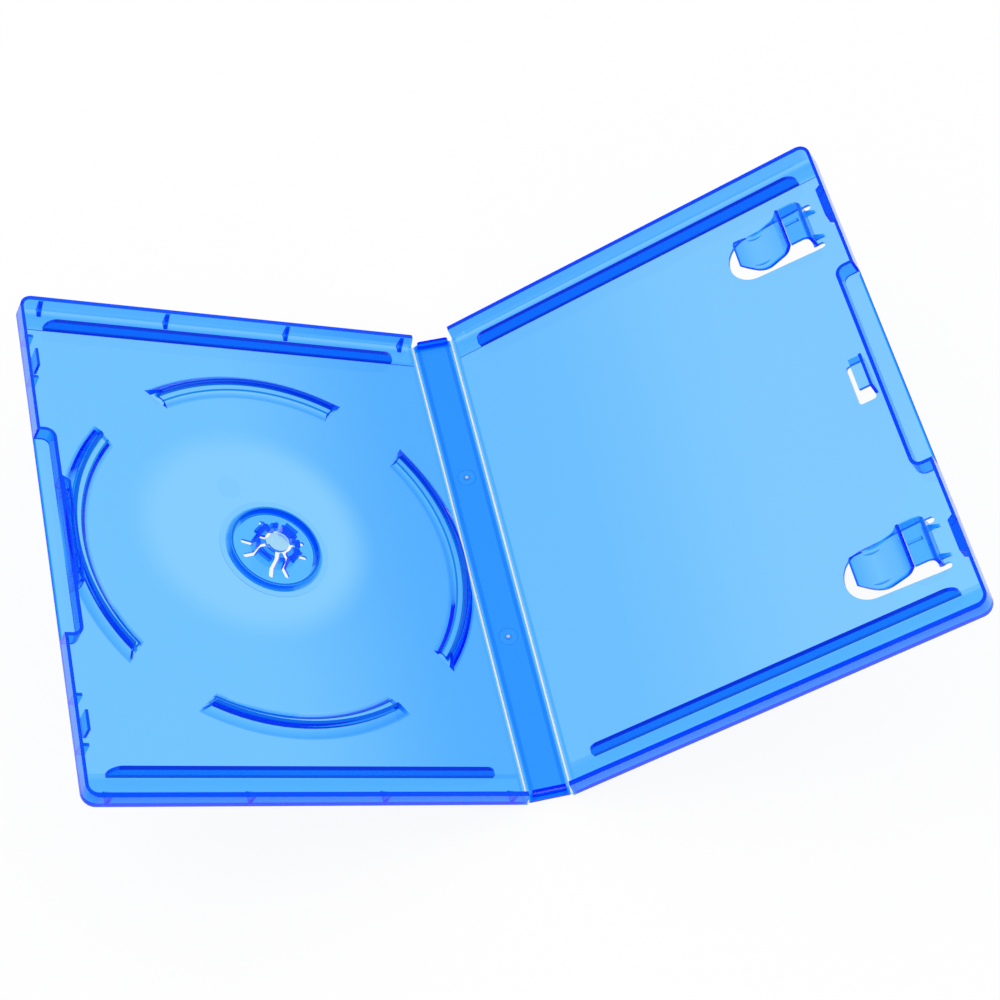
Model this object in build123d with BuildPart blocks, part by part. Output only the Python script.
"""Hinged plastic case for one game disc, modelled open in a V and standing on its spine.

The case is moulded in one piece and bends at two thin webs beside the spine. The disc tray is
on the left (-X), the cover with its booklet clips on the right (+X), and Y runs along the spine.
The origin is the middle of the spine's outer face. Sizes are in millimetres, angles in degrees.
"""

import os
from collections import namedtuple
from math import cos, radians, sin

from build123d import *

# Overall sizes
case_height = 171.0  # along the spine
panel_width = 133.7  # from a hinge axis to the opening edge
spine_width = 13.0  # between the two hinge axes
tray_depth = 5.9  # from outer face to rim
cover_depth = 7.2
tray_raise = 24.6  # how far each panel stands above flat
cover_raise = 27.8

# Skins and walls
floor = 1.1  # panel floor between the fins
border_step = 0.3  # extra floor thickness outside the fins
end_wall = 1.5  # walls along the top and bottom
side_wall = 1.0  # wall along the opening edge
corner_radius = 4.0  # corners in plan
edge_round = 0.6  # outer edge of the floor
cove_radius = 3.0  # inside foot of the end walls
sink = 0.4  # how far an added feature starts inside the skin that carries it

# Living hinges
hinge_web = 0.4  # thickness of the bending web
web_reach = 0.5  # web width on each side of the axis
web_gap = 0.1  # clearance between the panel's half of the web and the round end of the spine's
bevel_run = 1.8  # slope from the web up to the panel's floor
wall_start = 0.95  # foot of an end wall, from the hinge axis
wall_lean = 1.5  # how far an end wall leans back from the hinge over its height

# Thumb notches in the opening edges
tray_notch_length = 69.2
tray_notch_depth = 4.5
cover_notch_length = 72.6
cover_notch_depth = 5.4
notch_radius = 2.2
notch_wall = 1.1

# Fins and ribs along the end walls
fin = 1.2  # thickness
fin_inset = 9.5  # from the panel's end to the fin's inner face
fin_start = 10.3  # from the hinge
fin_margin = 7.4  # from the fin's other end to the opening edge
fin_radius = 4.0
rib_start = 6.1  # first rib, from the hinge
rib_margin = 6.7  # last rib, from the opening edge
rib_count = 4
rib = 1.3  # thickness
rib_foot = 2.8  # reach along the floor
rib_drop = 0.4  # below the rim

# Closing catches on the opening edge
catch_inset = 23.5  # from the panel's end to the middle of the catch
catch_length = 6.2
catch = 0.9  # thickness of the upright tongue
catch_gap = 1.7  # between the tongue and the side wall
gusset = 1.0  # thickness of the small ribs beside it
gusset_reach = 1.6
gusset_offset = 7.7
pad_length = 12.8  # thickened stretch of the cover's wall that meets the tongue
pad_taper = 1.4
pad = 1.7

# Latch pocket of the tray and hook of the cover, both behind the notch
pocket_length = 38.0
pocket_taper = 1.8
pocket_depth = 2.3
pocket_wall = 0.9
pocket_rib_offset = 13.5  # small ribs across the pocket
window_length = 14.0  # opening in the cover below the hook
window_width = 5.6
window_radius = 1.0
hook_length = 11.3
hook_plate = 1.0  # thickness of the upright that carries the hook
hook_gap = 1.6  # between that upright and the wall round the notch
hook_reach = 3.3
hook = 1.1  # thickness

# Disc seat
disc_place = 64.5  # disc centre, from the hinge
seat_outer = 65.0  # foot of the outer slope
seat_crest = 61.6
seat_bore = 60.6  # a 120 mm disc with 0.6 mm to spare
seat_ledge = 58.7
seat_inner = 56.3
crest_height = 4.3
ledge_height = 2.4
seat_skin = 1.05  # wall left over the hollow below
slope_skin = 1.6  # that wall on the outer slope, measured level, and below the crest
seat_lean = 28.0  # slope of a seat's two ends, from upright
seat_slant = 15.0  # turn of those ends in plan, from radial
end_arc = 61.0  # span of the seats by the end walls
side_arc = 80.0  # span of the seats by the hinge and the opening edge

# Disc hub
step_radius = 17.1  # faint step round the hub
step_rise = 0.12
ring_outer = 15.3
ring_top_outer = 14.2
ring_top_inner = 13.4
ring_inner = 12.4
ring_height = 2.7
hub_floor = 0.8  # thin plate that lets the fingers flex
boss_foot = 7.4
boss_top = 6.5
boss_height = 5.1
boss_skin = 1.0
boss_bore = 4.2
boss_shoulder = 0.5
slot_reach = 10.4  # outer end of the slots between the fingers
slot_width = 1.4
slot_turn = 15.0  # each side of the four main directions
nib_radius = 7.6  # outer face of the nibs that hold the disc down
nib_width = 4.4
nib_height = 1.1
button_radius = 3.3
button = 1.0  # thickness
button_drop = 0.1  # below the top of the fingers
link_width = 2.2
link_gap = 0.15

# Booklet clips
clip_inset = 26.3  # from the panel's end to the middle of the clip
clip_skin = 1.1
clip_margin = 9.2  # from the clip's root to the opening edge
back_lean = 0.5
arch_run = 7.1  # from the root to the crease
knee_run = 2.0  # from the crease to the leaf's bends and its tip
valley_run = 10.4
tip_run = 16.5
clip_top = 7.4  # heights of the clip's middle line over the outer face
clip_knee_height = 4.3
clip_low = 1.0
clip_lift = 5.8
arch_bend = 2.4
leaf_bend = 5.0
clip_width = 14.2
tip_width = 7.6
tip_taper = 4.6  # length over which the leaf narrows to its tip
tip_radius = 16.0  # where the leaf starts to narrow
tip_corner = 0.8
crease_gap = 0.15
clip_rib = 0.9
clip_rib_length = 4.6
clip_rib_rise = 0.4
root_gusset_height = 2.8
root_gusset_reach = 3.6
root_gusset_offset = 4.9

# Openings under the clips
tip_gap = 4.4  # between the tip and the round end
root_gap = 1.1
opening_width = 17.4  # at the root of the clip
opening_radius = 8.0  # round end, below the tip
relief_width = 2.0
relief_reach = 3.6  # past the end of the opening
relief_length = 6.0

# Spine
spine_floor = 1.3
spine_border = 0.7
spine_recess = 0.25
spine_inset = 0.7  # its ends stop short of the panels' ends
spine_end_gap = 0.15  # between its end walls and the panels' end walls when closed
spine_end_wall = 1.0
spine_end_width = 10.2
spine_end_height = 4.2
spine_end_radius = 0.9
gate_offset = 29.8  # moulding gate marks, from the middle
gate_radius = 1.1
gate_rise = 0.15

hinge_height = hinge_web / 2
border_floor = floor + border_step
half_height = case_height / 2
wall_foot = half_height - end_wall  # inner face of an end wall
side_foot = panel_width - side_wall  # inner face of the side wall
fin_end = panel_width - fin_margin
rib_end = panel_width - rib_margin
rib_spacing = (rib_end - rib_start) / (rib_count - 1)
catch_offset = half_height - catch_inset
clip_offset = half_height - clip_inset
clip_root = panel_width - clip_margin  # places along the clip, from the hinge
clip_back = clip_root - back_lean
clip_pivot = clip_root - arch_run
clip_knee = clip_pivot - knee_run
clip_valley = clip_pivot - valley_run
clip_tip = clip_pivot - tip_run
opening_start = clip_tip - tip_gap
opening_end = clip_root - root_gap
overrun = 2 * corner_radius  # outlines run past the hinge and are trimmed there
ends = (1, -1)

Panel = namedtuple("Panel", "plane depth notch_length notch_depth")


def panel_plane(side, raise_angle):
    """Plane of a panel's outer face: x runs away from the hinge, z towards the inside."""
    turn = radians(raise_angle)
    away = Vector(side * cos(turn), 0, sin(turn))
    inward = Vector(-side * sin(turn), 0, cos(turn))
    axis = Vector(side * spine_width / 2, 0, hinge_height)
    return Plane(axis - inward * hinge_height, x_dir=away, z_dir=inward)


def long_section(plane, across):
    """Section along a panel: x runs away from the hinge and y up from the outer face."""
    return Plane(plane.from_local_coords((0, across, 0)), x_dir=plane.x_dir, z_dir=-plane.y_dir)


def cross_section(plane, away):
    """Section across a panel: x runs along the hinge and y up from the outer face."""
    return Plane(plane.from_local_coords((away, 0, 0)), x_dir=plane.y_dir, z_dir=plane.x_dir)


def rounded_panel(end_inset, side_inset, radius):
    """Panel outline set in from its ends and its opening edge."""
    with Locations((panel_width - side_inset, 0)):
        RectangleRounded(
            panel_width + overrun,
            case_height - 2 * end_inset,
            radius,
            align=(Align.MAX, Align.CENTER),
        )


def thumb_notch(panel, grow, mode=Mode.ADD):
    """Notch outline at the opening edge, grown by a wall."""
    with Locations((panel_width, 0)):
        RectangleRounded(
            2 * (panel.notch_depth + grow),
            panel.notch_length + 2 * grow,
            notch_radius + grow,
            mode=mode,
        )


def notch_foot(panel):
    """Distance from the hinge to the inner face of the wall round the notch."""
    return panel_width - panel.notch_depth - notch_wall


def cavity(panel, height, half_span):
    """Clear the inside of a panel above a height, within a distance from its middle."""
    with BuildSketch(panel.plane.offset(height)) as inside:
        rounded_panel(end_wall, side_wall, corner_radius - end_wall)
        thumb_notch(panel, notch_wall, Mode.SUBTRACT)
        Rectangle(4 * panel_width, 2 * half_span, mode=Mode.INTERSECT)
    extrude(inside.sketch, amount=panel.depth - height, mode=Mode.SUBTRACT)


def panel_block(panel):
    """Floor and walls of a panel, with rounded outer edges."""
    plane = panel.plane
    with BuildSketch(plane) as outline:
        rounded_panel(0, 0, corner_radius)
    block = extrude(outline.sketch, amount=panel.depth)
    outer_face = block.faces().sort_by(Axis(plane.origin, plane.z_dir))[0]
    fillet(outer_face.edges().sort_by(Axis(plane.origin, plane.x_dir))[3:], edge_round)
    cavity(panel, border_floor, half_height)
    cavity(panel, floor, half_height - fin_inset)


def end_cove(panel, end):
    """Rounded foot of an end wall, between the outermost ribs."""
    foot = end * wall_foot
    inner = foot - end * cove_radius
    outer = foot + end * sink
    slant = cove_radius * sin(radians(45))
    top = border_floor + cove_radius
    with BuildSketch(cross_section(panel.plane, rib_start)) as section:
        with BuildLine():
            ThreePointArc(
                (inner, border_floor),
                (inner + end * slant, top - slant),
                (foot, top),
            )
            Polyline(
                (foot, top),
                (outer, top),
                (outer, border_floor - sink),
                (inner, border_floor - sink),
                (inner, border_floor),
            )
        make_face()
    extrude(section.sketch, amount=rib_end - rib_start)


def end_rib(panel, end, away):
    """Small web between an end wall and the floor."""
    foot = end * wall_foot
    outer = foot + end * sink
    toe = foot - end * rib_foot
    top = panel.depth - rib_drop
    with BuildSketch(cross_section(panel.plane, away)) as section:
        Polygon(
            (outer, border_floor - sink),
            (outer, top),
            (foot, top),
            (toe, border_floor),
            (toe, border_floor - sink),
            align=None,
        )
    extrude(section.sketch, amount=rib / 2, both=True)


def end_fin(panel, end):
    """Upright fin beside an end wall, as high as the rim, with rounded top corners."""
    middle = end * (half_height - fin_inset + fin / 2)
    with BuildSketch(long_section(panel.plane, middle)) as section:
        with Locations((fin_start, floor - sink)):
            Rectangle(fin_end - fin_start, panel.depth - floor + sink, align=(Align.MIN, Align.MIN))
        fillet(section.vertices().group_by(Axis.Y)[-1], fin_radius)
    extrude(section.sketch, amount=fin / 2, both=True)


def upright(panel, outline):
    """Raise a sketch that lies just inside the floor to the rim."""
    extrude(outline.sketch, amount=panel.depth - floor + sink)


def cut_notch(panel):
    """Open the thumb notch above the floor."""
    with BuildSketch(panel.plane.offset(floor)) as notch:
        thumb_notch(panel, 0)
    extrude(notch.sketch, amount=panel.depth - floor, mode=Mode.SUBTRACT)


def trim_hinge(panel):
    """Lean the end walls back from the hinge and slope the floor down to the web."""
    start = hinge_height + web_gap
    outside = -overrun - corner_radius
    above = 2 * panel.depth
    section_plane = long_section(panel.plane, 0)
    with BuildSketch(section_plane) as wall_side:
        Polygon(
            (outside, -panel.depth),
            (start, -panel.depth),
            (start, hinge_web),
            (wall_start, hinge_web),
            (wall_start + wall_lean, panel.depth),
            (wall_start + wall_lean, above),
            (outside, above),
            align=None,
        )
    extrude(wall_side.sketch, amount=case_height, both=True, mode=Mode.SUBTRACT)
    with BuildSketch(section_plane) as floor_side:
        Polygon(
            (outside, hinge_web),
            (web_reach, hinge_web),
            (web_reach + bevel_run, border_floor),
            (web_reach + bevel_run, above),
            (outside, above),
            align=None,
        )
    extrude(floor_side.sketch, amount=wall_foot, both=True, mode=Mode.SUBTRACT)


def disc_section(plane):
    """Radial section of the disc seat: x runs out from the disc centre, y up."""
    centre = plane.from_local_coords((disc_place, 0, 0))
    return Plane(centre, x_dir=plane.x_dir, z_dir=-plane.y_dir)


def seat_sectors(plane, end_skin):
    """Cut a ring of the disc seat back to its four arcs, with sloped ends, less a skin."""
    far = 2 * seat_outer
    with BuildSketch(plane) as sectors:
        for middle, span in seats:
            half_turn = radians(span / 2 + seat_slant)
            apex = (seat_outer * sin(radians(seat_slant)) + end_skin) / sin(half_turn)
            with Locations((disc_place, 0)):
                with Locations(Location((0, 0), middle)):
                    Polygon(
                        (apex, 0),
                        (apex + far * cos(half_turn), -far * sin(half_turn)),
                        (apex + far * cos(half_turn), far * sin(half_turn)),
                        align=None,
                    )
        with Locations((disc_place, 0)):
            Circle(seat_outer + tray_depth, mode=Mode.INTERSECT)
    extrude(sectors.sketch, amount=tray_depth, taper=seat_lean, mode=Mode.INTERSECT)


def disc_hub(plane, axis):
    """Support ring, slotted fingers and the nibs that hold a disc down."""
    with BuildSketch(disc_section(plane)) as ring:
        Polygon(
            (0, floor - sink),
            (step_radius, floor - sink),
            (step_radius, floor + step_rise),
            (ring_outer, floor + step_rise),
            (ring_top_outer, ring_height),
            (0, ring_height),
            align=None,
        )
    revolve(ring.sketch, axis)
    with BuildSketch(disc_section(plane)) as dish:
        Polygon(
            (0, hub_floor),
            (ring_inner, hub_floor),
            (ring_top_inner, ring_height),
            (0, ring_height),
            align=None,
        )
    revolve(dish.sketch, axis, mode=Mode.SUBTRACT)
    bore = boss_foot - boss_skin
    with BuildSketch(plane) as well:
        with Locations((disc_place, 0)):
            Circle(bore)
    extrude(well.sketch, amount=hub_floor, mode=Mode.SUBTRACT)
    with BuildSketch(disc_section(plane)) as boss:
        Polygon(
            (bore, 0),
            (boss_foot, 0),
            (boss_foot, hub_floor - sink),
            (boss_top + boss_shoulder, boss_height - boss_shoulder),
            (boss_top, boss_height),
            (boss_bore, boss_height),
            (boss_bore, boss_height - boss_skin),
            (boss_top - boss_skin, boss_height - boss_skin),
            align=None,
        )
    revolve(boss.sketch, axis)
    with BuildSketch(plane.offset(boss_height - nib_height)) as nibs:
        with Locations((disc_place, 0)):
            with PolarLocations((nib_radius + boss_top) / 2, 4, start_angle=45):
                Rectangle(nib_radius - boss_top, nib_width)
    extrude(nibs.sketch, amount=nib_height)
    slot_start = boss_bore - slot_width
    for turn in (slot_turn, -slot_turn):
        with BuildSketch(plane) as slots:
            with Locations((disc_place, 0)):
                with PolarLocations((slot_start + slot_reach) / 2, 4, start_angle=turn):
                    SlotOverall(slot_reach - slot_start, slot_width)
        extrude(slots.sketch, amount=tray_depth, mode=Mode.SUBTRACT)


def clip_arch(plane, across):
    """Fixed part of a booklet clip: it rises from the floor and ends at the crease."""
    pivot_side = clip_pivot + clip_skin / 2 + crease_gap
    with BuildSketch(long_section(plane, across)) as section:
        with BuildLine():
            FilletPolyline(
                (clip_root, floor / 2),
                (clip_back, clip_top),
                (pivot_side, clip_top),
                radius=arch_bend,
            )
        trace(line_width=clip_skin)
    extrude(section.sketch, amount=clip_width / 2, both=True)
    with BuildSketch(plane.offset(clip_top)) as top_rib:
        with Locations(((clip_back + clip_pivot) / 2, across)):
            Rectangle(clip_rib_length, clip_rib)
    extrude(top_rib.sketch, amount=clip_skin / 2 + clip_rib_rise)
    for end in ends:
        with BuildSketch(long_section(plane, across + end * root_gusset_offset)) as gusset_side:
            Polygon(
                (clip_root - sink, floor - sink),
                (clip_root + root_gusset_reach, floor - sink),
                (clip_root + root_gusset_reach, floor),
                (clip_root - sink, floor + root_gusset_height),
                align=None,
            )
        extrude(gusset_side.sketch, amount=gusset / 2, both=True)


def clip_opening(plane, across):
    """Opening in the cover below a clip, round at one end, with a relief slot each side of the root."""
    round_middle = opening_start + opening_radius
    with BuildSketch(plane) as opening:
        with Locations((round_middle, across)):
            Circle(opening_radius)
        Polygon(
            (round_middle, across - opening_radius),
            (opening_end, across - opening_width / 2),
            (opening_end, across + opening_width / 2),
            (round_middle, across + opening_radius),
            align=None,
        )
        relief_middle = opening_end + relief_reach - relief_length / 2
        for side in ends:
            with Locations((relief_middle, across + side * (opening_width - relief_width) / 2)):
                SlotOverall(relief_length, relief_width)
    extrude(opening.sketch, amount=border_floor, mode=Mode.SUBTRACT)


def clip_leaf(plane, across):
    """Springy leaf of a booklet clip, from the crease down to the booklet and up to its tip."""
    with BuildSketch(long_section(plane, across)) as section:
        with BuildLine():
            FilletPolyline(
                (clip_pivot, clip_top),
                (clip_knee, clip_knee_height),
                (clip_valley, clip_low),
                (clip_tip, clip_lift),
                radius=leaf_bend,
            )
        trace(line_width=clip_skin)
        with Locations((clip_pivot, clip_top)):
            Circle(clip_skin / 2)
    extrude(section.sketch, amount=clip_width / 2, both=True)
    with BuildSketch(plane) as outline:
        Polygon(
            (clip_tip - clip_skin, across - tip_width / 2),
            (clip_tip + tip_taper, across - clip_width / 2),
            (clip_pivot + clip_skin, across - clip_width / 2),
            (clip_pivot + clip_skin, across + clip_width / 2),
            (clip_tip + tip_taper, across + clip_width / 2),
            (clip_tip - clip_skin, across + tip_width / 2),
            align=None,
        )
        fillet(outline.vertices().group_by(Axis.X)[1], tip_radius)
        fillet(outline.vertices().group_by(Axis.X)[0], tip_corner)
    extrude(outline.sketch, amount=2 * clip_top, mode=Mode.INTERSECT)


tray_plane = panel_plane(-1, tray_raise)
cover_plane = panel_plane(1, cover_raise)
tray_panel = Panel(tray_plane, tray_depth, tray_notch_length, tray_notch_depth)
cover_panel = Panel(cover_plane, cover_depth, cover_notch_length, cover_notch_depth)
disc_axis = Axis(tray_plane.from_local_coords((disc_place, 0, 0)), tray_plane.z_dir)
seats = ((0, side_arc), (90, end_arc), (180, side_arc), (270, end_arc))

# Spine with its half of both hinge webs
with BuildPart() as spine:
    half_spine = spine_width / 2
    bevel_foot = half_spine - web_reach
    bevel_top = bevel_foot - spine_floor + hinge_web
    recess_edge = bevel_top - spine_border
    recess_top = spine_floor - spine_recess
    with BuildSketch(Plane.XZ) as spine_section:
        Polygon(
            (-half_spine, 0),
            (half_spine, 0),
            (half_spine, hinge_web),
            (bevel_foot, hinge_web),
            (bevel_top, spine_floor),
            (recess_edge, spine_floor),
            (recess_edge - spine_recess, recess_top),
            (spine_recess - recess_edge, recess_top),
            (-recess_edge, spine_floor),
            (-bevel_top, spine_floor),
            (-bevel_foot, hinge_web),
            (-half_spine, hinge_web),
            align=None,
        )
        with Locations((half_spine, hinge_height), (-half_spine, hinge_height)):
            Circle(hinge_height)
    extrude(amount=half_height - spine_inset, both=True)
    end_wall_middle = wall_foot - spine_end_gap - spine_end_wall / 2
    for end in ends:
        with BuildSketch(Plane.XZ.offset(end * end_wall_middle)) as end_section:
            with Locations((0, recess_top - sink)):
                Rectangle(
                    spine_end_width,
                    spine_end_height - recess_top + sink,
                    align=(Align.CENTER, Align.MIN),
                )
            fillet(end_section.vertices().group_by(Axis.Y)[-1], spine_end_radius)
        extrude(amount=spine_end_wall / 2, both=True)
    with BuildSketch(Plane.XY.offset(recess_top)):
        with Locations((0, gate_offset), (0, -gate_offset)):
            Circle(gate_radius)
    extrude(amount=gate_rise)

# Raised arcs that the disc's edge sits in, and the hollows below them
with BuildPart() as disc_seats:
    with BuildSketch(disc_section(tray_plane)) as seat_profile:
        Polygon(
            (seat_outer, floor),
            (seat_crest, crest_height),
            (seat_bore, crest_height),
            (seat_bore, ledge_height),
            (seat_ledge, ledge_height),
            (seat_inner, floor),
            (seat_inner, floor - sink),
            (seat_outer, floor - sink),
            align=None,
        )
    revolve(seat_profile.sketch, disc_axis)
    seat_sectors(tray_plane, 0)

with BuildPart() as seat_hollows:
    with BuildSketch(disc_section(tray_plane)) as hollow_profile:
        Polygon(
            (seat_outer - slope_skin, 0),
            (seat_crest, crest_height - slope_skin),
            (seat_crest, ledge_height - seat_skin),
            (seat_ledge, ledge_height - seat_skin),
            (seat_inner + slope_skin, 0),
            align=None,
        )
    revolve(hollow_profile.sketch, disc_axis)
    seat_sectors(tray_plane, seat_skin)

# Disc tray
with BuildPart() as tray:
    panel_block(tray_panel)
    for end in ends:
        end_cove(tray_panel, end)
        end_fin(tray_panel, end)
        for number in range(rib_count):
            end_rib(tray_panel, end, rib_start + number * rib_spacing)
        with BuildSketch(tray_plane.offset(floor - sink)) as catch_outline:
            with Locations((side_foot - catch_gap - catch / 2, end * catch_offset)):
                Rectangle(catch, catch_length)
            gusset_width = gusset_reach + sink
            gusset_place = side_foot + sink - gusset_width / 2
            for side in ends:
                with Locations((gusset_place, end * catch_offset + side * gusset_offset)):
                    Rectangle(gusset_width, gusset)
        upright(tray_panel, catch_outline)
    add(disc_seats.part)
    with BuildSketch(tray_plane.offset(floor - sink)) as pocket:
        pocket_back = notch_foot(tray_panel) + sink
        pocket_front = notch_foot(tray_panel) - pocket_depth
        Polygon(
            (pocket_back, -pocket_length / 2),
            (pocket_front, pocket_taper - pocket_length / 2),
            (pocket_front, pocket_length / 2 - pocket_taper),
            (pocket_back, pocket_length / 2),
            align=None,
        )
        offset(amount=-pocket_wall, mode=Mode.SUBTRACT)
        for end in ends:
            with Locations((pocket_back, end * pocket_rib_offset)):
                Rectangle(pocket_back - pocket_front, pocket_wall, align=(Align.MAX, Align.CENTER))
    upright(tray_panel, pocket)
    disc_hub(tray_plane, disc_axis)
    cut_notch(tray_panel)
    trim_hinge(tray_panel)
    add(seat_hollows.part, mode=Mode.SUBTRACT)

# Button in the middle of the disc hub, with the link that ties it to one finger
with BuildPart() as hub_button:
    with BuildSketch(tray_plane.offset(boss_height - button_drop - button)) as button_outline:
        with Locations((disc_place, 0)):
            Circle(button_radius)
        link_reach = boss_bore - link_gap
        with Locations((disc_place + link_reach / 2, 0)):
            Rectangle(link_reach, link_width)
        with Locations((disc_place, 0)):
            Circle(link_reach, mode=Mode.INTERSECT)
    extrude(amount=button)

# Cover
with BuildPart() as cover:
    panel_block(cover_panel)
    for end in ends:
        end_cove(cover_panel, end)
        end_fin(cover_panel, end)
        with BuildSketch(cover_plane.offset(floor - sink)) as pad_outline:
            pad_middle = end * catch_offset
            Polygon(
                (side_foot + sink, pad_middle - pad_length / 2),
                (side_foot - pad, pad_middle - pad_length / 2 + pad_taper),
                (side_foot - pad, pad_middle + pad_length / 2 - pad_taper),
                (side_foot + sink, pad_middle + pad_length / 2),
                align=None,
            )
        upright(cover_panel, pad_outline)
        clip_opening(cover_plane, end * clip_offset)
        clip_arch(cover_plane, end * clip_offset)
    hook_place = notch_foot(cover_panel) - hook_gap - hook_plate
    with BuildSketch(cover_plane) as window:
        with Locations((hook_place - window_width / 2, 0)):
            RectangleRounded(window_width, window_length, window_radius)
    extrude(amount=border_floor, mode=Mode.SUBTRACT)
    with BuildSketch(cover_plane.offset(floor - sink)) as hook_upright:
        with Locations((hook_place, 0)):
            Rectangle(hook_plate, hook_length, align=(Align.MIN, Align.CENTER))
    upright(cover_panel, hook_upright)
    with BuildSketch(cover_plane.offset(cover_depth - hook)) as hook_outline:
        with Locations((hook_place + sink, 0)):
            Rectangle(hook_reach + sink, hook_length, align=(Align.MAX, Align.CENTER))
    extrude(amount=hook)
    cut_notch(cover_panel)
    trim_hinge(cover_panel)

# Booklet clip leaves
with BuildPart() as upper_clip:
    clip_leaf(cover_plane, clip_offset)

with BuildPart() as lower_clip:
    clip_leaf(cover_plane, -clip_offset)

os.makedirs("parts", exist_ok=True)
pieces = {
    "spine": spine,
    "disc_tray": tray,
    "hub_button": hub_button,
    "cover": cover,
    "upper_booklet_clip": upper_clip,
    "lower_booklet_clip": lower_clip,
}
for name, piece in pieces.items():
    piece.part.label = name
    export_step(piece.part, f"parts/{name}.step")
